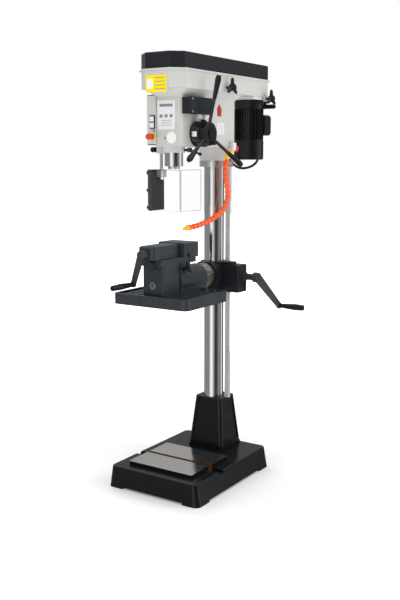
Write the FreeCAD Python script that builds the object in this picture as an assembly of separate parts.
import FreeCAD, Part
import math
import os

os.makedirs("parts", exist_ok=True)

# Floor-standing drill press with a tilting vise table, millimetres.
# Origin on the floor under the column's axis, +Z up, the operator stands at -Y, +X is the operator's right.

V = FreeCAD.Vector
X_AXIS = V(1, 0, 0)
Y_AXIS = V(0, 1, 0)
Z_AXIS = V(0, 0, 1)

# ---- driving dimensions ----
RUN = 0.05                      # radial running clearance of shafts and slides
GAP = 0.3                       # gap between faces of different moving bodies
COLUMN_R = 40.0
COLUMN_WALL = 9.0
COLUMN_FOOT_Z = 158.0
COLUMN_TOP_Z = 1440.0

FLOOR_PLATE_Z = 60.0            # underside of the base's top plate
BASE_Z = 86.0
BASE_FRONT = -436.0
BASE_BACK = 93.0
BASE_HALF_W = 198.0
PAD_Z = 99.0
PAD_HALF_W = 147.0
PAD_FRONT = -387.0
PAD_BACK = -128.5
SLOT_Y = -258.0
PEDESTAL_Z = 298.0

HEAD_HALF_W = 60.0
HEAD_FRONT = -322.0
HEAD_BACK = 65.0
HEAD_Z0 = 1310.0
HEAD_Z1 = 1515.0
BOSS_Z = 1259.0                 # bottom of the head's boss round the column

CASE_FLOOR = 5.0
CASE_Z1 = 1583.0
CASE_HALF_W = 96.5
CASE_FRONT = -383.0
CASE_BACK = 281.0
COVER_Z1 = 1641.0
COVER_WALL = 2.5
COVER_HINGE_X = -106.0
COVER_HINGE_Z = 1586.0

SPINDLE_Y = -280.0
QUILL_R = 34.5
QUILL_Z0 = 1239.0
QUILL_Z1 = 1474.0
SPINDLE_R = 17.0
SPLINE_R = 11.0
SPLINE_TIP = 13.0
SPINDLE_TOP = 1618.0
SLEEVE_R = 20.0
PULLEY_Z = 1545.0
STEP_H = 12.0
SPINDLE_STEPS = (62.0, 56.0, 50.0, 44.0, 38.0)
MOTOR_STEPS = (30.0, 36.0, 42.0, 48.0, 54.0)
BELT_STEP = 2
GROOVE_DEEP = 10.0
BELT_CLEAR = 1.0

FEED_Y = -230.0
FEED_Z = 1356.0
FEED_R = 11.0
FEED_PINION_TIP = 16.7
DRUM_X0 = 66.4
DRUM_X1 = 107.4
HANDLE_X = 119.0
HANDLE_TIP_X = 158.0
HANDLE_TIP_R = 210.0
HANDLE_ANGLE = 87.0

MOTOR_X = 30.0
MOTOR_Y = 220.0
MOTOR_R = 61.0

TILT_Z = 808.0
ARM_FACE_Y = -71.0              # front face of the bracket's arm
SPIGOT_FACE_Y = -130.0
HUB_R = 54.0
COLLAR_R = 54.0
COLLAR_Z0 = 745.0
COLLAR_Z1 = 860.0
RACK_X0 = 58.0
RACK_X1 = 76.0
RACK_HALF = 8.0
QUILL_PITCH = 6.283             # module 2 rack cut in the quill
LIFT_PITCH = 9.425              # module 3 rack beside the column
PINION_X = 92.1
PINION_Z = 777.0
WORM_Y = 31.0
WORM_Z = 800.0
LIFT_ARM = 232.0

TRAY_HALF = 168.0
TRAY_FRONT = -447.0
TRAY_BACK = -160.0
TRAY_Z0 = 731.0
TRAY_Z1 = 772.0
TRAY_FLOOR = 766.0
JAW_Y = -270.0                  # where the closed jaws meet
JAW_HALF = 60.0
JAW_TOP = 957.0
BED_Z = 905.0
SCREW_Z = 927.0
VISE_FRONT = -415.0

GUARD_X = -57.0                 # guard rod
GUARD_Z0 = 1075.0
GUARD_Z1 = 1227.0
GUARD_HALF = 76.0
GUARD_FRONT = -347.0
GUARD_BACK = -211.0
GUARD_PLATE_BACK = -243.0
GUARD_SCREW_Y = -334.0
GUARD_SCREW_Z = (1087, 1151, 1215)

HOSE_POINTS = (
    (86, -40, 1262), (88, -57, 1238), (89, -58, 1197), (90, -42, 1140), (90, -53, 1095),
    (84, -104, 1053), (74, -172, 1029), (62, -232, 1016), (52, -262, 1012))
HOSE_LINKS = 21
GLAND_DIR = V(math.cos(math.radians(95)), math.sin(math.radians(95)), 0)
GLAND_END = 79.6                # end face of the head's cable gland, from the column's axis
GLAND_Z = 1275.0
MOTOR_GLAND_Z = 1343.2
CABLE_START = GLAND_DIR * GLAND_END + V(0, 0, GLAND_Z)
CABLE_POINTS = (
    tuple(CABLE_START), tuple(CABLE_START + GLAND_DIR * 41), (-5, 150, 1247), (6, 172, 1230),
    (22, 196, 1226), (34, 222, 1231), (38, 250, 1240), (37, 278, 1252), (33, 300, 1274),
    (30, 308, 1308), (30, 308, MOTOR_GLAND_Z))
CABLE_R = 5.0


# ---- shape helpers ----
def box(x0, x1, y0, y1, z0, z1):
    return Part.makeBox(x1 - x0, y1 - y0, z1 - z0, V(x0, y0, z0))


def bar(start, direction, length, radius):
    return Part.makeCylinder(radius, length, V(*start), direction)


def ring(start, direction, length, outer, inner):
    return bar(start, direction, length, outer).cut(bar(start, direction, length, inner))


def cone(start, direction, length, r0, r1):
    return Part.makeCone(r0, r1, length, V(*start), direction)


def join(shapes):
    result = shapes[0].fuse(list(shapes[1:])) if len(shapes) > 1 else shapes[0]
    return result.removeSplitter()


def less(shape, *tools):
    return shape.cut(list(tools))


def round_rect(x0, x1, y0, y1, z, r):
    edges = []
    corners = ((x1 - r, y1 - r, 0), (x0 + r, y1 - r, 90), (x0 + r, y0 + r, 180), (x1 - r, y0 + r, 270))
    arcs = []
    for cx, cy, start in corners:
        points = []
        for step in (0, 45, 90):
            angle = math.radians(start + step)
            points.append(V(cx + r * math.cos(angle), cy + r * math.sin(angle), z))
        arcs.append(points)
    for index, points in enumerate(arcs):
        following = arcs[(index + 1) % 4]
        edges.append(Part.Arc(*points).toShape())
        edges.append(Part.LineSegment(points[2], following[0]).toShape())
    return Part.Wire(edges)


def prism(wire, height):
    return Part.Face(wire).extrude(V(0, 0, height))


def round_box(x0, x1, y0, y1, z0, z1, r):
    return prism(round_rect(x0, x1, y0, y1, z0, r), z1 - z0)


def loft(*wires):
    return Part.makeLoft(list(wires), True, True)


def polygon(points):
    return Part.makePolygon([V(*p) for p in points] + [V(*points[0])])


def hexagon(centre, direction, length, across):
    """Hexagonal prism along X, Y or Z."""
    points = []
    for k in range(6):
        angle = math.radians(60 * k + 30)
        a = across / math.sqrt(3) * math.cos(angle)
        b = across / math.sqrt(3) * math.sin(angle)
        if abs(direction.x) > 0.5:
            points.append((centre[0], centre[1] + a, centre[2] + b))
        elif abs(direction.y) > 0.5:
            points.append((centre[0] + a, centre[1], centre[2] + b))
        else:
            points.append((centre[0] + a, centre[1] + b, centre[2]))
    return Part.Face(polygon(points)).extrude(direction * length)


def fillet(shape, radius, chosen):
    edges = [e for e in shape.Edges if chosen(e)]
    return shape.makeFillet(radius, edges)


def edge_at(axis_name, value):
    """Edges that lie wholly at one coordinate."""
    def test(edge):
        b = edge.BoundBox
        low = getattr(b, axis_name + "Min")
        high = getattr(b, axis_name + "Max")
        return abs(low - value) < 0.01 and abs(high - value) < 0.01
    return test


def star_knob(centre, direction, radius, depth):
    """Three-armed star knob with a domed hub; its stud side is at centre."""
    pieces = [bar(centre, direction, depth, radius * 0.42)]
    c = V(*centre)
    for k in range(3):
        angle = math.radians(90 + 120 * k)
        if abs(direction.x) > 0.5:
            out = V(0, math.cos(angle), math.sin(angle))
        else:
            out = V(math.cos(angle), 0, math.sin(angle))
        start = c + direction * (depth * 0.45)
        pieces.append(Part.makeCone(radius * 0.30, radius * 0.19, radius, start, out))
        pieces.append(Part.makeSphere(radius * 0.19, start + out * radius))
    return join(pieces)


def save(name, *solids):
    shape = solids[0] if len(solids) == 1 else Part.makeCompound(list(solids))
    for solid in shape.Solids:
        if not solid.isValid():
            print("not valid:", name)
    shape.exportStep("parts/" + name + ".step")
    print(name, len(shape.Solids), "solids", round(shape.Volume / 1000.0, 1), "cm3")


# ---- base, pedestal and column ----
def make_base():
    body = loft(
        round_rect(-211, 211, -441, 101, 0, 24),
        round_rect(-BASE_HALF_W, BASE_HALF_W, BASE_FRONT, BASE_BACK, BASE_Z, 20))
    body = fillet(body, 5, edge_at("Z", BASE_Z))
    cells = []
    for x0, x1 in ((-180, -96), (-84, -6), (6, 84), (96, 180)):
        for row in range(4):
            y0 = -410 + 123 * row
            cells.append(box(x0, x1, y0, y0 + 111, -1, FLOOR_PLATE_Z))
    feet = [box(-140, 140, -450, 110, -1, 8), box(-220, 220, -360, 20, -1, 8)]
    pad = round_box(-PAD_HALF_W, PAD_HALF_W, PAD_FRONT, PAD_BACK, BASE_Z, PAD_Z, 6)
    groove = round_box(-160, 160, -400, -115, 91, 92.5, 6).cut(
        round_box(-PAD_HALF_W + 1.5, PAD_HALF_W - 1.5, PAD_FRONT + 1.5, PAD_BACK - 1.5, 91, 92.5, 6))
    slot = [
        box(-160, 160, SLOT_Y - 8, SLOT_Y + 8, 84, PAD_Z + 1),
        box(-160, 160, SLOT_Y - 14, SLOT_Y + 14, 76, 86)]
    ends = [box(s * 178 - 31, s * 178 + 31, SLOT_Y - 16, SLOT_Y + 16, 76, BASE_Z + 5) for s in (-1, 1)]
    bolts = [bar((x, y, 40), Z_AXIS, 60, 8) for x in (-42, 42) for y in (-20, 50)]
    body = less(join([body, pad]), *(cells + feet + [groove] + slot + ends + bolts))
    centre_foot = bar((0, 0, 0), Z_AXIS, FLOOR_PLATE_Z + 1, 22)
    return join([body, centre_foot])


def face_panel(side, deep):
    """Cutter for the recessed panel in one tapered side of the pedestal."""
    z0, z1 = 112.0, 286.0
    def corner(z, inset):
        t = (z - BASE_Z) / (PEDESTAL_Z - BASE_Z)
        half = 82 - 20.5 * t
        front = -68 + 22 * t
        back = 86 - 22 * t
        if side in ("left", "right"):
            s = 1 if side == "right" else -1
            return [(s * (half - inset), front + 17, z), (s * (half - inset), back - 17, z)]
        y = front + inset if side == "front" else back - inset
        return [(-half + 17, y, z), (half - 17, y, z)]
    wires = []
    for inset in (deep, -3):
        low = corner(z0, inset)
        high = corner(z1, inset)
        wires.append(polygon([low[0], low[1], high[1], high[0]]))
    return Part.makeLoft(wires, True, True)


def make_pedestal():
    body = loft(
        round_rect(-82, 82, -68, 86, BASE_Z, 14),
        round_rect(-61.5, 61.5, -46, 64, PEDESTAL_Z, 14))
    flange = round_box(-83.5, 83.5, -69.5, 87.5, BASE_Z, BASE_Z + 9, 14)
    body = join([body, flange])
    body = fillet(body, 3, edge_at("Z", PEDESTAL_Z))
    inner = loft(
        round_rect(-69, 69, -55, 73, BASE_Z + 16, 10),
        round_rect(-50, 50, -43, 61, PEDESTAL_Z - 16, 10))
    socket = bar((0, 0, COLUMN_FOOT_Z - 8), Z_AXIS, PEDESTAL_Z - COLUMN_FOOT_Z + 6, 53)
    body = body.cut(inner.cut(socket))
    panels = [face_panel(side, 4) for side in ("left", "right", "front", "back")]
    bore = bar((0, 0, COLUMN_FOOT_Z), Z_AXIS, 200, COLUMN_R + RUN)
    threads = [bar((x, y, 80), Z_AXIS, 19, 8) for x in (-42, 42) for y in (-20, 50)]
    return less(body, bore, *(panels + threads))


def make_base_bolts():
    bolts = []
    for x in (-42, 42):
        for y in (-20, 50):
            head = hexagon((x, y, 49.5), Z_AXIS, 10.5, 24)
            bolts.append(join([head, bar((x, y, 60), Z_AXIS, 38, 7.95)]))
    return bolts


def make_column():
    tube = ring((0, 0, COLUMN_FOOT_Z), Z_AXIS, COLUMN_TOP_Z - COLUMN_FOOT_Z, COLUMN_R, COLUMN_R - COLUMN_WALL)
    return tube


# ---- head ----
def head_flare():
    return loft(
        round_rect(-HEAD_HALF_W, HEAD_HALF_W, HEAD_FRONT, HEAD_BACK, 1490, 16),
        round_rect(-86, 86, -350, 92, HEAD_Z1, 26))


def column_boss():
    return join([
        bar((0, 0, BOSS_Z), Z_AXIS, 19, 58.5),
        cone((0, 0, BOSS_Z + 19), Z_AXIS, HEAD_Z0 - BOSS_Z - 13, 58.5, 64)])


def make_head():
    block = round_box(-HEAD_HALF_W, HEAD_HALF_W, HEAD_FRONT, HEAD_BACK, HEAD_Z0, 1490, 16)
    flare = head_flare()
    nose = bar((0, SPINDLE_Y, 1288), Z_AXIS, 60, 42)
    boss = column_boss()
    feed_boss = bar((50, FEED_Y, FEED_Z), X_AXIS, DRUM_X0 - 50.4, 48)
    spring_boss = bar((-66, FEED_Y, FEED_Z), X_AXIS, 20, 32)
    lug = round_box(-72, -42, -294, -266, 1285, 1312, 6)
    body = join([block, flare, nose, boss, feed_boss, spring_boss, lug])
    cuts = [
        bar((0, SPINDLE_Y, 1270), Z_AXIS, 212, QUILL_R + RUN),
        bar((0, SPINDLE_Y, 1470), Z_AXIS, 30, 24),
        bar((0, SPINDLE_Y, 1484), Z_AXIS, 40, 31),
        bar((0, 0, 1240), Z_AXIS, COLUMN_TOP_Z - 1240, COLUMN_R + RUN),
        box(-46, 46, -206, -52, 1322, 1500),
        box(-15, 15, -252, -200, FEED_Z - 20, FEED_Z + 20),
        bar((-70, FEED_Y, FEED_Z), X_AXIS, 160, FEED_R + RUN),
        bar((GUARD_X, SPINDLE_Y, 1280), Z_AXIS, 38, 6 + RUN),
        bar((-80, SPINDLE_Y, 1300), X_AXIS, 20, 4 + RUN),
        bar((38, -270, 1298), X_AXIS, 20, 5 + RUN)]
    return less(body, *cuts)


def case_wire(grow, z):
    """Outline of the belt case: narrow flat front, chamfers, straight sides, rounded back corners."""
    w = CASE_HALF_W + grow
    front = CASE_FRONT - grow
    nose = 52 + grow * 0.4
    shoulder = -346 - grow * 0.4
    back = CASE_BACK + grow
    r = 30.0 + grow
    k = r * (1 - math.sqrt(0.5))
    edges = [
        Part.LineSegment(V(-nose, front, z), V(nose, front, z)).toShape(),
        Part.LineSegment(V(nose, front, z), V(w, shoulder, z)).toShape(),
        Part.LineSegment(V(w, shoulder, z), V(w, back - r, z)).toShape(),
        Part.Arc(V(w, back - r, z), V(w - k, back - k, z), V(w - r, back, z)).toShape(),
        Part.LineSegment(V(w - r, back, z), V(-w + r, back, z)).toShape(),
        Part.Arc(V(-w + r, back, z), V(-w + k, back - k, z), V(-w, back - r, z)).toShape(),
        Part.LineSegment(V(-w, back - r, z), V(-w, shoulder, z)).toShape(),
        Part.LineSegment(V(-w, shoulder, z), V(-nose, front, z)).toShape()]
    return Part.Wire(edges)


def make_belt_case():
    shell = prism(case_wire(0, HEAD_Z1), CASE_Z1 - HEAD_Z1)
    lip = prism(case_wire(8, CASE_Z1 - 6), 6)
    hollow = prism(case_wire(-4, HEAD_Z1 + CASE_FLOOR), 100)
    shell = join([shell, lip])
    holes = [
        bar((0, SPINDLE_Y, 1500), Z_AXIS, 30, 33),
        box(MOTOR_X - 32, MOTOR_X + 32, MOTOR_Y - 14, MOTOR_Y, 1500, 1530),
        bar((MOTOR_X, MOTOR_Y, 1500), Z_AXIS, 30, 32),
        bar((MOTOR_X, MOTOR_Y - 14, 1500), Z_AXIS, 30, 32)]
    for y in (180, 238):
        holes.append(box(80, 92.6, y - 20, y + 7, 1500, 1530))
    holes.append(bar((85, -62, 1532), X_AXIS, 20, 5 + RUN))
    lug = round_box(93.4, 103, 222, 248, 1497, HEAD_Z1 + 4, 3)
    shell = join([shell, lug])
    holes.append(bar((90, 235, 1507), X_AXIS, 20, 5 + RUN))
    for y in (-200, 120):
        holes.append(bar((COVER_HINGE_X, y - 12, COVER_HINGE_Z), Y_AXIS, 24, 5.5))
    shell = less(shell, hollow, *holes)
    knuckles = []
    for y in (-200, 120):
        for offset in (-24, 12):
            knuckle = bar((COVER_HINGE_X, y + offset, COVER_HINGE_Z), Y_AXIS, 12, 5)
            foot = box(COVER_HINGE_X - 4, -100, y + offset, y + offset + 12, CASE_Z1 - 6, CASE_Z1)
            knuckles += [knuckle, foot]
    shell = join([shell] + knuckles)
    bores = [bar((COVER_HINGE_X, y - 30, COVER_HINGE_Z), Y_AXIS, 60, 2.5) for y in (-200, 120)]
    shell = less(shell, *bores)
    pins = [bar((COVER_HINGE_X, y - 25, COVER_HINGE_Z), Y_AXIS, 50, 2.45) for y in (-200, 120)]
    return [shell] + pins


def make_belt_cover():
    z0 = CASE_Z1 + GAP
    outer = prism(case_wire(0, z0), COVER_Z1 - z0)
    outer = fillet(outer, 4, lambda e: e.BoundBox.ZLength > 50 and e.BoundBox.YMax < -340)
    outer = fillet(outer, 5, edge_at("Z", COVER_Z1))
    inner = prism(case_wire(-COVER_WALL, z0 - 1), COVER_Z1 - 3 - z0 + 1)
    shell = outer.cut(inner)
    extra = []
    for y in (-200, 120):
        extra.append(bar((COVER_HINGE_X, y - 11.5, COVER_HINGE_Z), Y_AXIS, 23, 5))
        extra.append(box(COVER_HINGE_X, -CASE_HALF_W + 1, y - 11.5, y + 11.5, COVER_HINGE_Z + 1, COVER_HINGE_Z + 5))
    shell = join([shell] + extra)
    bores = [bar((COVER_HINGE_X, y - 30, COVER_HINGE_Z), Y_AXIS, 60, 2.5) for y in (-200, 120)]
    return less(shell, *bores)


# ---- spindle line ----
def make_quill():
    body = bar((0, SPINDLE_Y, QUILL_Z0), Z_AXIS, QUILL_Z1 - QUILL_Z0, QUILL_R)
    cuts = [
        bar((0, SPINDLE_Y, QUILL_Z0 - 1), Z_AXIS, 300, SPINDLE_R + 2),
        bar((0, SPINDLE_Y, QUILL_Z0 + 4), Z_AXIS, 14, 26),
        bar((0, SPINDLE_Y, QUILL_Z0 - 1), Z_AXIS, 6, 24),
        bar((0, SPINDLE_Y, QUILL_Z1 - 14), Z_AXIS, 20, 26),
        box(-12, 12, SPINDLE_Y + 33, SPINDLE_Y + 40, QUILL_Z0 + 20, QUILL_Z1 + 1)]
    for k in range(22):
        z = FEED_Z + (k - 4) * QUILL_PITCH
        tooth = polygon([(-12, SPINDLE_Y + 34, z - 2.4), (-12, SPINDLE_Y + 34, z + 2.4),
                         (-12, SPINDLE_Y + 30, z + 1.2), (-12, SPINDLE_Y + 30, z - 1.2)])
        cuts.append(Part.Face(tooth).extrude(V(24, 0, 0)))
    return less(body, *cuts)


def bearing(centre_x, centre_y, z, height, outer, inner):
    """Ball bearing: outer race, inner race and balls."""
    middle = (outer + inner) / 2.0
    ball_r = (outer - inner) * 0.26
    start = (centre_x, centre_y, z)
    track = Part.makeTorus(middle, ball_r + 0.15, V(centre_x, centre_y, z + height / 2.0))
    outer_race = ring(start, Z_AXIS, height, outer, middle + ball_r * 0.55).cut(track)
    inner_race = ring(start, Z_AXIS, height, middle - ball_r * 0.55, inner).cut(track)
    balls = []
    count = 9
    for k in range(count):
        angle = 2 * math.pi * k / count
        centre = V(centre_x + middle * math.cos(angle), centre_y + middle * math.sin(angle), z + height / 2.0)
        balls.append(Part.makeSphere(ball_r, centre))
    return [outer_race, inner_race] + balls


def spline_ribs(root, tip, half, z0, height):
    ribs = [bar((0, SPINDLE_Y, z0), Z_AXIS, height, root)]
    for k in range(6):
        rib = box(-half, half, 0, tip, z0, z0 + height)
        rib.rotate(V(0, 0, 0), Z_AXIS, 60 * k)
        rib.translate(V(0, SPINDLE_Y, 0))
        ribs.append(rib)
    return join(ribs)


def make_spindle():
    nose = bar((0, SPINDLE_Y, 1229), Z_AXIS, 14, 22)
    shaft = bar((0, SPINDLE_Y, 1240), Z_AXIS, 240, SPINDLE_R)
    spline = spline_ribs(SPLINE_R, SPLINE_TIP, 2.0, 1479, SPINDLE_TOP - 1479)
    mouth = bar((0, SPINDLE_Y, 1228.9), Z_AXIS, 6.1, 12.2)
    taper = cone((0, SPINDLE_Y, 1235), Z_AXIS, 81, 11.9, 9.9)
    drift = box(-30, 30, SPINDLE_Y - 4, SPINDLE_Y + 4, 1296, 1322)
    return less(join([nose, shaft, spline]), mouth, taper, drift)


def step_profile(steps):
    """Half outline of a five-step V pulley as (radius, height) points."""
    points = [(0.0, 0.0)]
    for k, r in enumerate(steps):
        low = k * STEP_H
        mid = low + STEP_H / 2.0
        points += [(r, low), (r, mid - 5.0), (r - GROOVE_DEEP, mid - 2.9),
                   (r - GROOVE_DEEP, mid + 2.9), (r, mid + 5.0), (r, low + STEP_H)]
    points.append((0.0, STEP_H * len(steps)))
    return points


def cone_pulley(cx, cy, steps):
    outline = [(cx + r, cy, PULLEY_Z + h) for r, h in step_profile(steps)]
    return Part.Face(polygon(outline)).revolve(V(cx, cy, 0), Z_AXIS, 360)


def make_spindle_pulley():
    body = join([
        cone_pulley(0, SPINDLE_Y, SPINDLE_STEPS),
        bar((0, SPINDLE_Y, 1485), Z_AXIS, 65, SLEEVE_R)])
    bore = spline_ribs(SPLINE_R + GAP, SPLINE_TIP + GAP, 2.0 + GAP, 1480, 140)
    lighten = ring((0, SPINDLE_Y, PULLEY_Z - 1), Z_AXIS, 9, 44, SLEEVE_R + 6)
    return less(body, bore, lighten)


def make_belt():
    """V belt round one step of each pulley: two arcs and two straight runs."""
    c1 = V(0, SPINDLE_Y, 0)
    c2 = V(MOTOR_X, MOTOR_Y, 0)
    r1 = SPINDLE_STEPS[BELT_STEP]
    r2 = MOTOR_STEPS[BELT_STEP]
    z = PULLEY_Z + STEP_H * (BELT_STEP + 0.5)
    along = (c2 - c1).normalize()
    across = V(-along.y, along.x, 0)
    tilt = math.asin((r1 - r2) / (c2 - c1).Length)
    pieces = []
    normals = []

    def section(centre, normal, radius):
        rows = ((radius - 0.6, 3.9), (radius - 8.4, 2.2))
        corners = []
        for r, half in rows:
            corners.append((r, half))
        (ro, ho), (ri, hi) = corners
        points = [(ro, -ho), (ro, ho), (ri, hi), (ri, -hi)]
        return Part.Face(polygon([tuple(centre + normal * r + V(0, 0, z + h)) for r, h in points]))

    for side in (1, -1):
        normal = along * math.sin(tilt) + across * (side * math.cos(tilt))
        normals.append(normal)
        start = c1 + normal * r1
        end = c2 + normal * r2
        pieces.append(section(c1, normal, r1).extrude(end - start))
    turn = math.degrees(2 * tilt)
    pieces.append(section(c1, normals[0], r1).revolve(c1, Z_AXIS, 180 + turn))
    pieces.append(section(c2, normals[1], r2).revolve(c2, Z_AXIS, 180 - turn))
    return join(pieces)


# ---- feed ----
def gear(centre, direction_x, length, tip, root, teeth):
    """Spur gear with straight-sided teeth, its axis along X or Y."""
    points = []
    for k in range(teeth):
        base = 2 * math.pi * k / teeth
        pitch = 2 * math.pi / teeth
        for fraction, r in ((-0.28, root), (-0.13, tip), (0.13, tip), (0.28, root)):
            angle = base + fraction * pitch
            a = r * math.cos(angle)
            b = r * math.sin(angle)
            if direction_x:
                points.append((centre[0], centre[1] + a, centre[2] + b))
            else:
                points.append((centre[0] + a, centre[1], centre[2] + b))
    axis = X_AXIS if direction_x else Y_AXIS
    return Part.Face(polygon(points)).extrude(axis * length)


def make_feed_shaft():
    return join([
        bar((-92, FEED_Y, FEED_Z), X_AXIS, 219, FEED_R),
        gear((-9.5, FEED_Y, FEED_Z), True, 19, FEED_PINION_TIP, 12.5, 16)])


def make_depth_drum():
    drum = bar((DRUM_X0, FEED_Y, FEED_Z), X_AXIS, DRUM_X1 - DRUM_X0, 47)
    drum = fillet(drum, 2, edge_at("X", DRUM_X0))
    rim = ring((DRUM_X0 + 6, FEED_Y, FEED_Z), X_AXIS, 2, 50, 45.5)
    pointer = join([
        box(92, 105, FEED_Y - 8, FEED_Y + 8, FEED_Z + 40, FEED_Z + 50),
        bar((98, FEED_Y - 14, FEED_Z + 48), Y_AXIS, 26, 4)])
    body = less(join([drum, pointer]), rim)
    return less(body, bar((DRUM_X0 - 1, FEED_Y, FEED_Z), X_AXIS, 60, FEED_R))


def handle_direction(index):
    angle = math.radians(HANDLE_ANGLE + 120 * index)
    slope = (HANDLE_TIP_X - HANDLE_X) / (HANDLE_TIP_R - 16.0)
    return V(slope, math.cos(angle), math.sin(angle)).normalize()


def handle_start(index):
    angle = math.radians(HANDLE_ANGLE + 120 * index)
    return V(HANDLE_X, FEED_Y + 16 * math.cos(angle), FEED_Z + 16 * math.sin(angle))


def make_feed_hub():
    hub = bar((107.6, FEED_Y, FEED_Z), X_AXIS, 24.4, 43)
    hub = fillet(hub, 6, edge_at("X", 132))
    cap = bar((131, FEED_Y, FEED_Z), X_AXIS, 5, 17)
    body = join([hub, cap])
    bore = bar((100, FEED_Y, FEED_Z), X_AXIS, 27, FEED_R)
    sockets = [Part.makeCylinder(6, 60, handle_start(k), handle_direction(k)) for k in range(3)]
    body = less(body, bore, *sockets)
    knob = join([
        bar((132.1, FEED_Y + 4, FEED_Z - 34), X_AXIS, 8, 4),
        bar((138, FEED_Y + 4, FEED_Z - 34), X_AXIS, 9, 7)])
    return [body, knob]


def make_feed_rods():
    return [Part.makeCylinder(6, 178, handle_start(k), handle_direction(k)) for k in range(3)]


def make_feed_grips():
    grips = []
    for k in range(3):
        d = handle_direction(k)
        start = handle_start(k) + d * 112
        body = Part.makeCone(7.5, 11.5, 70, start, d)
        end = Part.makeCone(11.5, 8.5, 14, start + d * 70, d)
        grip = join([body, end])
        hole = Part.makeCylinder(6, 67, start + d * -1, d)
        grips.append(grip.cut(hole))
    return grips


def make_spring_cap():
    cup = bar((-98, FEED_Y, FEED_Z), X_AXIS, 31.7, 30)
    cup = fillet(cup, 3, edge_at("X", -98))
    return cup.cut(bar((-95.5, FEED_Y, FEED_Z), X_AXIS, 30, 27))


def make_return_spring():
    """Flat spiral spring made of half turns whose centres alternate."""
    pieces = []
    step = 1.6
    radius = 12.5
    strip = 1.0
    side = 1
    shift = 0.0
    for turn in range(8):
        centre = FEED_Y + shift
        outer = ring((-90, centre, FEED_Z), X_AXIS, 16, radius + strip, radius)
        if side > 0:
            keep = box(-91, -73, centre - 40, centre + 40, FEED_Z, FEED_Z + 40)
        else:
            keep = box(-91, -73, centre - 40, centre + 40, FEED_Z - 40, FEED_Z)
        pieces.append(outer.common(keep))
        shift += side * step / 2.0
        radius += step / 2.0
        side = -side
    return join(pieces)


def make_quill_lock():
    stud = bar((40.5, -270, 1298), X_AXIS, 18, 5)
    hub = bar((56, -270, 1298), X_AXIS, 14, 8.5)
    d = V(0, 80, -17).normalize()
    lever = Part.makeCone(5.5, 4.0, 66, V(64, -270, 1298), d)
    ball = Part.makeSphere(7, V(64, -270, 1298) + d * 70)
    return join([stud, hub, lever, ball])


# ---- controls ----
def make_control_box():
    body = round_box(-90, -HEAD_HALF_W - 0.1, -322.3, -266, 1316, 1497, 3)
    frame = box(-72, -49, -332, -328, 1375, 1423)
    frame = less(frame, box(-70.2, -51.8, -340, -320, 1400.8, 1419.2), box(-70.2, -51.8, -340, -320, 1378.8, 1397.2))
    return [body.cut(head_flare()), frame]


def make_control_panel():
    plate = box(-87, -47, -328, -322.4, 1319, 1494)
    plate = fillet(plate, 1.5, edge_at("Y", -328))
    collar = ring((-60, -334, 1346), Y_AXIS, 7, 14.5, 10)
    plate = less(join([plate, collar]),
                 box(-70.2, -51.8, -340, -323.5, 1400.8, 1419.2),
                 box(-70.2, -51.8, -340, -323.5, 1378.8, 1397.2),
                 bar((-60, -335, 1346), Y_AXIS, 11.5, 8.5))
    lamp = join([bar((-53.5, -330, 1368), Y_AXIS, 3, 2.6), Part.makeSphere(2.6, V(-53.5, -330, 1368))])
    return less(join([plate, lamp]), head_flare())


def push_button(z):
    cap = box(-70, -52, -335, -327, z, z + 18)
    return fillet(cap, 1.5, edge_at("Y", -335))


def make_e_stop():
    stem = bar((-60, -350, 1346), Y_AXIS, 21, 8)
    head = bar((-60, -362, 1346), Y_AXIS, 13, 11)
    head = fillet(head, 4, edge_at("Y", -362))
    return join([stem, head])


def make_switch_box():
    body = round_box(HEAD_HALF_W + 0.1, 92, -313, -167, 1427, 1486, 2)
    lid = fillet(box(92, 100, -314, -166, 1426, 1487), 2, edge_at("X", 100))
    screws = []
    holes = []
    for y in (-306, -174):
        for z in (1434, 1479):
            screws.append(join([bar((100, y, z), X_AXIS, 2.5, 4), bar((93, y, z), X_AXIS, 8, 2)]))
            holes.append(bar((92, y, z), X_AXIS, 9, 2))
    lid = less(lid, *holes)
    return [body, lid] + screws


def make_cable_glands():
    glands = []
    for y in (-230, -196):
        nut = hexagon((80, y, 1413), Z_AXIS, 9, 19)
        neck = bar((80, y, 1421.5), Z_AXIS, 5.5, 8)
        dome = cone((80, y, 1407), Z_AXIS, 6.5, 5, 8)
        glands.append(join([nut, neck, dome]))
    d = GLAND_DIR
    start = V(0, 0, GLAND_Z) + d * (GLAND_END - 22)
    nut = Part.makeCylinder(10.5, 11, start, d)
    dome = Part.makeCone(9.5, 6, 11, start + d * 11, d)
    glands.append(less(join([nut, dome]), column_boss()))
    return glands


# ---- motor ----
def make_motor_plate():
    plate = round_box(-34, 92, 152, 285, 1503, HEAD_Z1 - GAP, 10)
    plate = plate.cut(bar((MOTOR_X, MOTOR_Y, 1500), Z_AXIS, 20, 20))
    bar_solid = box(81, 92, -100, 246, 1523, 1541)
    posts = [box(83, 91, y - 6, y + 6, 1510, 1530) for y in (180, 238)]
    return join([plate, bar_solid] + posts)


def make_motor_frame():
    shield = bar((MOTOR_X, MOTOR_Y, 1466), Z_AXIS, 36.9, MOTOR_R)
    shield = fillet(shield, 4, edge_at("Z", 1466))
    tube = bar((MOTOR_X, MOTOR_Y, 1338), Z_AXIS, 130, 54)
    low = bar((MOTOR_X, MOTOR_Y, 1338), Z_AXIS, 6, MOTOR_R - 1)
    pieces = [shield, tube, low]
    for k in range(32):
        fin = box(50, MOTOR_R - 0.5, -1.3, 1.3, 1340, 1468)
        fin.rotate(V(0, 0, 0), Z_AXIS, k * 11.25)
        fin.translate(V(MOTOR_X, MOTOR_Y, 0))
        pieces.append(fin)
    body = join(pieces)
    hollow = bar((MOTOR_X, MOTOR_Y, 1346), Z_AXIS, 124, 44)
    bore = bar((MOTOR_X, MOTOR_Y, 1320), Z_AXIS, 200, 9 + RUN)
    return less(body, hollow, bore)


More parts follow.
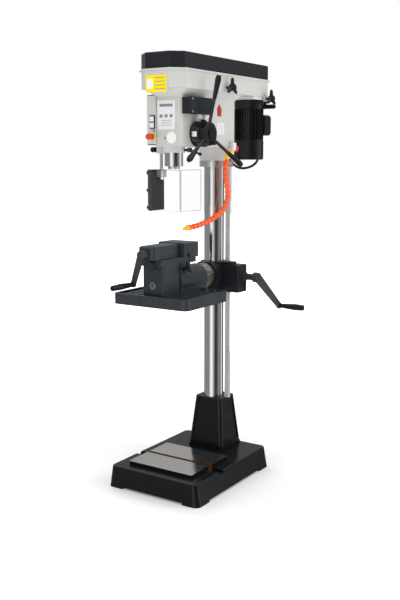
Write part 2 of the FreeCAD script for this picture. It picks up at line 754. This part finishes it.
def make_fan_cowl():
    cup = bar((MOTOR_X, MOTOR_Y, 1262), Z_AXIS, 75.7, MOTOR_R + 0.5)
    cup = fillet(cup, 7, edge_at("Z", 1262))
    cup = cup.cut(bar((MOTOR_X, MOTOR_Y, 1264.5), Z_AXIS, 80, MOTOR_R - 1.5))
    grille = []
    for r in (14, 24, 34, 44):
        slot = ring((MOTOR_X, MOTOR_Y, 1260), Z_AXIS, 6, r + 4.5, r)
        for turn in (0, 45, 90, 135):
            spoke = box(-60, 60, -2.5, 2.5, 1259, 1267)
            spoke.rotate(V(0, 0, 0), Z_AXIS, turn)
            spoke.translate(V(MOTOR_X, MOTOR_Y, 0))
            slot = slot.cut(spoke)
        grille.append(slot)
    return less(cup, *grille)


def make_rotor():
    shaft = bar((MOTOR_X, MOTOR_Y, 1290), Z_AXIS, 313, 9)
    core = bar((MOTOR_X, MOTOR_Y, 1360), Z_AXIS, 96, 34)
    fan = bar((MOTOR_X, MOTOR_Y, 1296), Z_AXIS, 18, 16)
    blades = []
    for k in range(8):
        blade = box(12, 50, -1.2, 1.2, 1292, 1318)
        blade.rotate(V(0, 0, 0), Z_AXIS, k * 45)
        blade.translate(V(MOTOR_X, MOTOR_Y, 0))
        blades.append(blade)
    return join([shaft, core, fan] + blades)


def make_stator():
    return ring((MOTOR_X, MOTOR_Y, 1364), Z_AXIS, 88, 43.95, 35)


def make_motor_pulley():
    body = cone_pulley(MOTOR_X, MOTOR_Y, MOTOR_STEPS)
    hub = bar((MOTOR_X, MOTOR_Y, 1522), Z_AXIS, 24, 16)
    return less(join([body, hub]), bar((MOTOR_X, MOTOR_Y, 1500), Z_AXIS, 120, 9))


def make_terminal_box():
    box_solid = box(-8, 78, 270, 333, 1362, 1447)
    corners = fillet(box_solid, 14, lambda e: abs(e.BoundBox.YMin - 333) < 0.01 or (
        abs(e.BoundBox.YMax - 333) < 0.01 and e.BoundBox.YLength > 10))
    body = corners.cut(bar((MOTOR_X, MOTOR_Y, 1330), Z_AXIS, 150, MOTOR_R + 0.1))
    nut = hexagon((MOTOR_X, 308, 1353), Z_AXIS, 9, 19)
    dome = cone((MOTOR_X, 308, MOTOR_GLAND_Z), Z_AXIS, 9.9, 6, 9)
    return [body, join([nut, dome])]


def tangent_route(points):
    """Straight runs joined by tangent arcs, each arc as large as its two runs allow."""
    pts = [V(*p) for p in points]
    edges = []
    last = pts[0]
    for a, b, c in zip(pts, pts[1:], pts[2:]):
        before = b - a
        after = c - b
        turn = before.getAngle(after)
        short = min(before.Length, after.Length)
        cut = 0.45 * short
        radius = cut / math.tan(turn / 2.0)
        u = V(before).normalize()
        w = V(after).normalize()
        start = b - u * cut
        end = b + w * cut
        inward = V(w - u).normalize()
        centre = b + inward * math.hypot(radius, cut)
        middle = centre - inward * radius
        edges.append(Part.LineSegment(last, start).toShape())
        edges.append(Part.Arc(start, middle, end).toShape())
        last = end
        print("   arc radius", round(radius, 1))
    edges.append(Part.LineSegment(last, pts[-1]).toShape())
    return Part.Wire(edges)


def make_cable():
    path = tangent_route(CABLE_POINTS)
    start = V(*CABLE_POINTS[0])
    direction = (V(*CABLE_POINTS[1]) - start).normalize()
    circle = Part.Wire(Part.makeCircle(CABLE_R, start, direction))
    tube = path.makePipeShell([circle], True, False)
    print("cable length", round(path.Length, 1), "volume ratio",
          round(tube.Volume / (math.pi * CABLE_R ** 2 * path.Length), 4))
    return tube


def slide_knob(y, z, x_wall, stud_in):
    stud = bar((x_wall - stud_in, y, z), X_AXIS, stud_in + 18, 5)
    return join([stud, star_knob((x_wall + 14, y, z), X_AXIS, 31, 20)])


def make_tension_lever():
    hub = bar((73, 277, 1470), Z_AXIS, 32.7, 8)
    arm = bar((79, 277, 1479), X_AXIS, 8, 5)
    grip = join([bar((85, 277, 1479), X_AXIS, 34, 9), cone((119, 277, 1479), X_AXIS, 3, 9, 6)])
    return join([hub, arm, grip])


# ---- chuck guard ----
def make_guard_rod():
    return join([
        bar((GUARD_X, SPINDLE_Y, 1190), Z_AXIS, 124, 6),
        bar((GUARD_X, SPINDLE_Y, 1190), Z_AXIS, 6, 9)])


def make_guard_plate():
    side = box(-GUARD_HALF + 2.4, -GUARD_HALF + 4.4, GUARD_FRONT + 3.2, GUARD_PLATE_BACK, GUARD_Z0, GUARD_Z1)
    flange = box(-GUARD_HALF + 2.4, -GUARD_HALF + 18, GUARD_FRONT + 3.2, GUARD_FRONT + 5.2, GUARD_Z0, GUARD_Z1)
    block = round_box(-GUARD_HALF + 4, -43, -296, -264, 1198, 1226, 4)
    block = less(block, bar((GUARD_X, SPINDLE_Y, 1180), Z_AXIS, 60, 6 + RUN))
    body = join([side, flange, block])
    screws = []
    holes = []
    for z in GUARD_SCREW_Z:
        screws.append(join([
            bar((-GUARD_HALF - 7, GUARD_SCREW_Y, z), X_AXIS, 7, 6),
            bar((-GUARD_HALF - 0.5, GUARD_SCREW_Y, z), X_AXIS, 7, 2)]))
        holes.append(bar((-GUARD_HALF + 1, GUARD_SCREW_Y, z), X_AXIS, 6, 2))
    return [less(body, *holes)] + screws


def make_guard_screen():
    outer = box(-GUARD_HALF, GUARD_HALF, GUARD_FRONT, GUARD_BACK, GUARD_Z0, GUARD_Z1)
    corner = lambda e: abs(e.BoundBox.XMin - GUARD_HALF) < 0.01 and abs(e.BoundBox.YMax - GUARD_FRONT) < 0.01
    outer = fillet(outer, 6, corner)
    inner = box(-GUARD_HALF + 2.3, GUARD_HALF - 3, GUARD_FRONT + 3, GUARD_BACK + 5, GUARD_Z0 - 1, GUARD_Z1 + 1)
    open_side = box(-GUARD_HALF - 1, 0, GUARD_FRONT + 25, GUARD_BACK + 5, GUARD_Z0 - 1, GUARD_Z1 + 1)
    holes = [bar((-GUARD_HALF - 1, GUARD_SCREW_Y, z), X_AXIS, 6, 2) for z in GUARD_SCREW_Z]
    return less(outer, inner, open_side, *holes)


def make_guard_knob():
    return join([
        bar((-82, SPINDLE_Y, 1300), X_AXIS, 18.5, 4),
        bar((-100, SPINDLE_Y, 1300), X_AXIS, 20, 10),
        box(-98, -82, SPINDLE_Y - 12, SPINDLE_Y + 12, 1296, 1304)])


# ---- coolant ----
def make_coolant_valve():
    stub = bar((60.1, 24, 1316), X_AXIS, 14, 9)
    body = bar((74, 24, 1302), Z_AXIS, 26, 11)
    outlet = bar((76, 24, 1306), V(0.25, -1.0, -0.45).normalize(), 24, 8)
    return less(join([stub, body, outlet]), bar((74, 30, 1306), Y_AXIS, 20, 4 + RUN), column_boss())


def make_valve_knob():
    stem = bar((74, 30, 1306), Y_AXIS, 14, 4)
    wheel = bar((74, 38, 1306), Y_AXIS, 7, 12)
    wing = box(68, 80, 36, 46, 1293, 1319)
    wing = fillet(wing, 3, lambda e: e.BoundBox.YLength > 9)
    return join([stem, wheel, wing])


def make_hose_ends():
    d = V(0.25, -1.0, -0.45).normalize()
    start = V(76, 24, 1306) + d * 24
    corner = V(*HOSE_POINTS[0]) + V(0, -2, 18)
    entry = V(corner - start)
    down = V(*HOSE_POINTS[0]) - corner
    elbow = join([
        Part.makeCylinder(8, entry.Length, start, V(entry).normalize()),
        Part.makeSphere(10, corner),
        Part.makeCylinder(9.5, down.Length - 2, corner, V(down).normalize())])
    tip = V(*HOSE_POINTS[-1])
    ahead = (tip - V(*HOSE_POINTS[-2])).normalize()
    nozzle = join([
        Part.makeCylinder(10.5, 7, tip + ahead * 1.0, ahead),
        Part.makeCone(9, 4.5, 18, tip + ahead * 7, ahead)])
    hose = make_hose()
    return [less(elbow, make_coolant_valve(), *hose), less(nozzle, *hose)]


def make_hose():
    """Segmented plastic hose: separate links, each a narrow neck and a flared cup."""
    curve = Part.BSplineCurve()
    curve.interpolate([V(*p) for p in HOSE_POINTS])
    stations = curve.discretize(Number=HOSE_LINKS + 1)
    links = []
    for a, b in zip(stations, stations[1:]):
        along = V(b - a)
        step = along.Length
        d = along.normalize()
        link = join([
            Part.makeCylinder(7.5, step * 0.3, a, d),
            Part.makeCone(9.0, 11.4, step * 0.45, a + d * (step * 0.25), d),
            Part.makeCone(11.4, 9.8, step * 0.3, a + d * (step * 0.7), d)])
        if links:
            link = link.cut(links[-1])
        links.append(link)
    return links


# ---- table side ----
def make_rack():
    body = box(RACK_X0, RACK_X1, -RACK_HALF, RACK_HALF, PEDESTAL_Z + GAP, BOSS_Z - 24)
    teeth = []
    for k in range(65):
        z = 493 + k * LIFT_PITCH
        outline = polygon([(RACK_X1 + 0.5, -9, z - 3.5), (RACK_X1 + 0.5, -9, z + 3.5),
                           (RACK_X1 - 6.0, -9, z + 1.2), (RACK_X1 - 6.0, -9, z - 1.2)])
        teeth.append(Part.Face(outline).extrude(V(0, 18, 0)))
    body = less(body, *teeth)
    z0 = BOSS_Z - 23.9
    height = 23.9 - GAP
    collar = bar((0, 0, z0), Z_AXIS, height, 58.5)
    ear = round_box(40, 84, -10, 10, z0, z0 + height, 3)
    collar = less(join([collar, ear]), bar((0, 0, 1200), Z_AXIS, 60, COLUMN_R + RUN))
    return [body, collar]


def make_bracket():
    collar = bar((0, 0, COLLAR_Z0), Z_AXIS, COLLAR_Z1 - COLLAR_Z0, COLLAR_R)
    arm = join([
        bar((0, ARM_FACE_Y, TILT_Z), Y_AXIS, 60, 58),
        box(-50, 50, ARM_FACE_Y + 8, -10, COLLAR_Z0 + 5, TILT_Z)])
    arm = arm.common(box(-70, 70, -80, 0, COLLAR_Z0, COLLAR_Z1))
    housing = round_box(45, 127.5, -22, 48, 740, 849, 6)
    housing = fillet(housing, 2, edge_at("Z", 849))
    keeper = round_box(50, 96, -18, 20, 848, 860, 3)
    lock_boss = bar((-70, 0, 800), X_AXIS, 30, 15)
    body = join([collar, arm, housing, keeper, lock_boss])
    cuts = [
        bar((0, 0, 700), Z_AXIS, 200, COLUMN_R + RUN),
        box(RACK_X0 - 0.4, RACK_X1 + 0.4, -RACK_HALF - 0.4, RACK_HALF + 0.4, 700, 900),
        box(RACK_X1 - 1, 110, -11, 43, PINION_Z - 17, WORM_Z + 13),
        bar((PINION_X, -16, PINION_Z), Y_AXIS, 60, 7 + RUN),
        bar((70, WORM_Y, WORM_Z), X_AXIS, 60, 7 + RUN),
        bar((-80, 0, 800), X_AXIS, 45, 6 + RUN),
        bar((0, ARM_FACE_Y - 1, TILT_Z), Y_AXIS, 26, 20)]
    screw_recess = bar((PINION_X, -23, PINION_Z), Y_AXIS, 5, 8)
    return less(body, screw_recess, *cuts)


def make_lift_pinion():
    return join([
        bar((PINION_X, -15.5, PINION_Z), Y_AXIS, 59, 7),
        gear((PINION_X, -9, PINION_Z), False, 18, 15.7, 10.2, 9),
        gear((PINION_X, WORM_Y - 8, PINION_Z), False, 16, 13.0, 10.6, 20)])


def make_lift_crank():
    worm = bar((80, WORM_Y, WORM_Z), X_AXIS, 26, 9.4)
    shaft = bar((72, WORM_Y, WORM_Z), X_AXIS, 72, 7)
    washer = bar((128, WORM_Y, WORM_Z), X_AXIS, 3, 19)
    neck = bar((132, WORM_Y, WORM_Z), X_AXIS, 40, 13)
    hub = bar((170, WORM_Y, WORM_Z), X_AXIS, 22, 20)
    hub = join([neck, fillet(hub, 3, edge_at("X", 192))])
    angle = math.radians(-37.0)
    d = V(0, math.cos(angle), math.sin(angle))
    side = V(0, -math.sin(angle), math.cos(angle))
    c = V(180, WORM_Y, WORM_Z)
    tip = c + d * LIFT_ARM
    outline = [c + side * 18, c - side * 18, tip - side * 11, tip + side * 11]
    arm = Part.Face(polygon([tuple(p) for p in outline])).extrude(V(12, 0, 0))
    end = bar(tuple(tip), X_AXIS, 12, 13)
    screw = bar((192, WORM_Y, WORM_Z), X_AXIS, 3, 9)
    core = Part.makeCylinder(5, 103.2, tip + V(12, 0, 0), X_AXIS)
    return join([worm, shaft, washer, hub, bar((131, WORM_Y, WORM_Z), X_AXIS, 2, 12), arm, end, screw, core])


def lift_tip():
    angle = math.radians(-37.0)
    return V(180, WORM_Y + LIFT_ARM * math.cos(angle), WORM_Z + LIFT_ARM * math.sin(angle))


def make_lift_grip():
    tip = lift_tip()
    start = tip + V(13, 0, 0)
    body = join([
        Part.makeCone(9, 13.5, 70, start, X_AXIS),
        Part.makeCone(13.5, 11.5, 36, start + V(70, 0, 0), X_AXIS)])
    return body.cut(Part.makeCylinder(5 + RUN, 103.5, start - V(1, 0, 0), X_AXIS))


def make_column_lever():
    stud = bar((-84, 0, 800), X_AXIS, 40, 6)
    hub = bar((-92, 0, 800), X_AXIS, 16, 11)
    d = V(0, 0.5, -0.866)
    lever = Part.makeCone(6, 5, 80, V(-84, 0, 800), d)
    ball = Part.makeSphere(10, V(-84, 0, 800) + d * 84)
    return join([stud, hub, lever, ball])


def make_tilt_spigot():
    disc = bar((0, SPIGOT_FACE_Y, TILT_Z), Y_AXIS, ARM_FACE_Y - SPIGOT_FACE_Y, 50)
    root = bar((0, ARM_FACE_Y - 1, TILT_Z), Y_AXIS, 25, 19.95)
    nose = bar((0, SPIGOT_FACE_Y - 60, TILT_Z), Y_AXIS, 62, 22)
    body = join([disc, root, nose])
    marks = []
    for k in range(-9, 10):
        mark = box(-0.6, 0.6, SPIGOT_FACE_Y - 1, SPIGOT_FACE_Y + (22 if k % 3 == 0 else 13), 48.8, 52)
        mark.rotate(V(0, 0, 0), Y_AXIS, 90 + k * 5)
        mark.translate(V(0, 0, TILT_Z))
        marks.append(mark)
    thread = bar((0, SPIGOT_FACE_Y - 61, TILT_Z), Y_AXIS, 50, 10)
    return less(body, thread, *marks)


def make_table():
    tray = round_box(-TRAY_HALF, TRAY_HALF, TRAY_FRONT, TRAY_BACK, TRAY_Z0, TRAY_Z1, 24)
    tray = fillet(tray, 3, edge_at("Z", TRAY_Z1))
    pocket = round_box(-TRAY_HALF + 12, TRAY_HALF - 12, TRAY_FRONT + 12, TRAY_BACK - 12, TRAY_FLOOR, 800, 14)
    cells = [
        box(sx * 82 - 66, sx * 82 + 66, y0, y0 + 120, TRAY_Z0 - 1, TRAY_Z0 + 13)
        for sx in (-1, 1) for y0 in (-430, -298)]
    slots = []
    for x in (-112, -78, 78, 112):
        slots.append(box(x - 6, x + 6, TRAY_FRONT + 24, TRAY_BACK + 1, TRAY_FLOOR - 9, 800))
        slots.append(box(x - 10, x + 10, TRAY_FRONT + 24, TRAY_BACK + 1, TRAY_FLOOR - 16, TRAY_FLOOR - 8))
    hub_start = SPIGOT_FACE_Y - GAP
    length = hub_start + 311
    hub = bar((0, -311, TILT_Z), Y_AXIS, length, HUB_R)
    foot = box(-50, 50, -311, hub_start, TRAY_FLOOR - 2, TILT_Z)
    lug = round_box(24, 52, -310, -282, TILT_Z + 10, 880, 5)
    tray = less(tray, pocket, *(cells + slots))
    body = join([tray, hub, foot, lug])
    return less(
        body,
        bar((0, SPIGOT_FACE_Y - 60.5, TILT_Z), Y_AXIS, 70, 22 + RUN),
        bar((0, -320, TILT_Z), Y_AXIS, 140, 10 + RUN),
        bar((30, -296, 862), X_AXIS, 40, 5 + RUN))


def make_tilt_bolt():
    shank = bar((0, VISE_FRONT + 2, TILT_Z), Y_AXIS, SPIGOT_FACE_Y - 20 - VISE_FRONT - 2, 9.95)
    head = bar((0, VISE_FRONT - 4, TILT_Z), Y_AXIS, 12, 15)
    socket = hexagon((0, VISE_FRONT - 4, TILT_Z), Y_AXIS, 6, 14)
    return less(join([shank, head]), socket)


def make_vise_body():
    block = round_box(-50, 50, VISE_FRONT, -311.3, TRAY_FLOOR, 884, 10)
    neck = box(-22, 22, -330, -205, 855, 886)
    bed = round_box(-50, 50, -428, -205, 880, BED_Z, 5)
    jaw = round_box(-JAW_HALF, JAW_HALF, JAW_Y + 8, -205, BED_Z - 4, JAW_TOP, 3)
    boss = bar((0, -446, 885), Y_AXIS, 40, 17)
    body = join([block, neck, bed, jaw, boss])
    cuts = [
        bar((0, -312, TILT_Z), Y_AXIS, 120, HUB_R + 0.1),
        bar((0, -420, TILT_Z), Y_AXIS, 130, 10 + RUN),
        bar((0, VISE_FRONT - 1, TILT_Z), Y_AXIS, 9, 15.2),
        bar((0, -420, SCREW_Z), Y_AXIS, 190, 11)]
    plate = box(-JAW_HALF, JAW_HALF, JAW_Y, JAW_Y + 7.9, BED_Z + 12, JAW_TOP)
    plate = less(plate, *[bar((x, JAW_Y - 1, 934), Y_AXIS, 5, 5) for x in (-36, 36)])
    nut = less(box(-14, 14, -400, -377, BED_Z - 6, 939), bar((0, -410, SCREW_Z), Y_AXIS, 40, 9 + RUN))
    cuts.append(box(-14, 14, -400, -377, BED_Z - 6, BED_Z + 1))
    return less(body, *cuts), plate, nut


def make_vise_slide():
    nose = round_box(-38, 38, -461, JAW_Y - 26, BED_Z + GAP, JAW_TOP - 2, 18)
    nose = fillet(nose, 9, edge_at("Z", JAW_TOP - 2))
    side_panels = [box(s * 38 - 2, s * 38 + 2, -436, -310, 916, 940) for s in (-1, 1)]
    jaw = round_box(-JAW_HALF, JAW_HALF, JAW_Y - 30, JAW_Y - 8.3, BED_Z + GAP, JAW_TOP, 3)
    body = join([nose, jaw])
    tunnel = box(-17, 17, -445, JAW_Y - 24, BED_Z, 942)
    return less(body, bar((0, -470, SCREW_Z), Y_AXIS, 170, 9 + RUN), tunnel, *side_panels)


def make_moving_plate():
    plate = box(-JAW_HALF, JAW_HALF, JAW_Y - 8.2, JAW_Y - GAP, BED_Z + 12, JAW_TOP)
    return less(plate, *[bar((x, JAW_Y - 4, 934), Y_AXIS, 5, 5) for x in (-36, 36)])


def vise_tip():
    return V(-36, -485, SCREW_Z - 108)


def make_vise_screw():
    screw = bar((0, -464, SCREW_Z), Y_AXIS, 160, 9)
    hub = bar((0, -494, SCREW_Z), Y_AXIS, 32.7, 15)
    tip = vise_tip()
    c = V(0, -493, SCREW_Z)
    end = V(tip.x, -493, tip.z)
    d = V(end - c).normalize()
    side = V(d.z, 0, -d.x)
    outline = [c + side * 13, c - side * 13, end - side * 9, end + side * 9]
    arm = Part.Face(polygon([tuple(p) for p in outline])).extrude(V(0, 10, 0))
    knuckle = bar((end.x, -493, end.z), Y_AXIS, 10, 11)
    core = bar((end.x, -600, end.z), Y_AXIS, 110, 4.5)
    return join([screw, hub, arm, knuckle, core])


def make_vise_grip():
    tip = vise_tip()
    body = join([
        cone((tip.x, -494, tip.z), V(0, -1, 0), 66, 8, 11.5),
        cone((tip.x, -560, tip.z), V(0, -1, 0), 48, 11.5, 10)])
    return body.cut(bar((tip.x, -600.5, tip.z), Y_AXIS, 110, 4.5 + RUN))


def make_tilt_knob():
    stud = bar((31, -296, 862), X_AXIS, 34, 5)
    return join([stud, star_knob((62, -296, 862), X_AXIS, 24, 18)])


def main():
    save("base", make_base())
    save("pedestal", make_pedestal())
    save("base_bolts", *make_base_bolts())
    save("column", make_column())
    save("head_casting", make_head())
    save("belt_case", *make_belt_case())
    save("belt_cover", make_belt_cover())
    save("quill", make_quill())
    save("quill_bearings", *(bearing(0, SPINDLE_Y, 1243, 14, 26, SPINDLE_R + RUN)
                             + bearing(0, SPINDLE_Y, QUILL_Z1 - 14, 14, 26, SPINDLE_R + RUN)))
    save("spindle", make_spindle())
    save("spindle_pulley", make_spindle_pulley())
    save("pulley_bearings", *(bearing(0, SPINDLE_Y, 1485, 14, 30.95, SLEEVE_R + RUN)
                              + bearing(0, SPINDLE_Y, 1500, 14, 30.95, SLEEVE_R + RUN)))
    save("v_belt", make_belt())
    save("feed_shaft", make_feed_shaft())
    save("depth_drum", make_depth_drum())
    save("feed_hub", *make_feed_hub())
    save("feed_rods", *make_feed_rods())
    save("feed_grips", *make_feed_grips())
    save("spring_cap", make_spring_cap())
    save("return_spring", make_return_spring())
    save("quill_lock", make_quill_lock())
    save("control_box", *make_control_box())
    save("control_panel", make_control_panel())
    save("start_button", push_button(1401))
    save("stop_button", push_button(1379))
    save("e_stop_button", make_e_stop())
    save("switch_box", *make_switch_box())
    save("cable_glands", *make_cable_glands())
    save("motor_plate", make_motor_plate())
    save("motor_frame", make_motor_frame(), make_stator())
    save("fan_cowl", make_fan_cowl())
    save("motor_rotor", make_rotor())
    save("motor_pulley", make_motor_pulley())
    save("terminal_box", *make_terminal_box())
    save("motor_cable", make_cable())
    save("front_slide_knob", slide_knob(-62, 1532, CASE_HALF_W, 4.2))
    save("rear_slide_knob", slide_knob(235, 1507, 103, 10.7))
    save("tension_lever", make_tension_lever())
    save("guard_rod", make_guard_rod())
    save("guard_plate", *make_guard_plate())
    save("guard_screen", make_guard_screen())
    save("guard_knob", make_guard_knob())
    save("coolant_valve", make_coolant_valve())
    save("valve_knob", make_valve_knob())
    save("hose_ends", *make_hose_ends())
    save("coolant_hose", *make_hose())
    save("rack", *make_rack())
    save("table_bracket", make_bracket())
    save("lift_pinion", make_lift_pinion())
    save("lift_crank", make_lift_crank())
    save("lift_grip", make_lift_grip())
    save("column_lever", make_column_lever())
    save("tilt_spigot", make_tilt_spigot())
    save("table", make_table())
    save("tilt_bolt", make_tilt_bolt())
    save("vise_body", *make_vise_body())
    save("vise_slide", make_vise_slide(), make_moving_plate())
    save("vise_screw", make_vise_screw())
    save("vise_grip", make_vise_grip())
    save("tilt_knob", make_tilt_knob())


main()
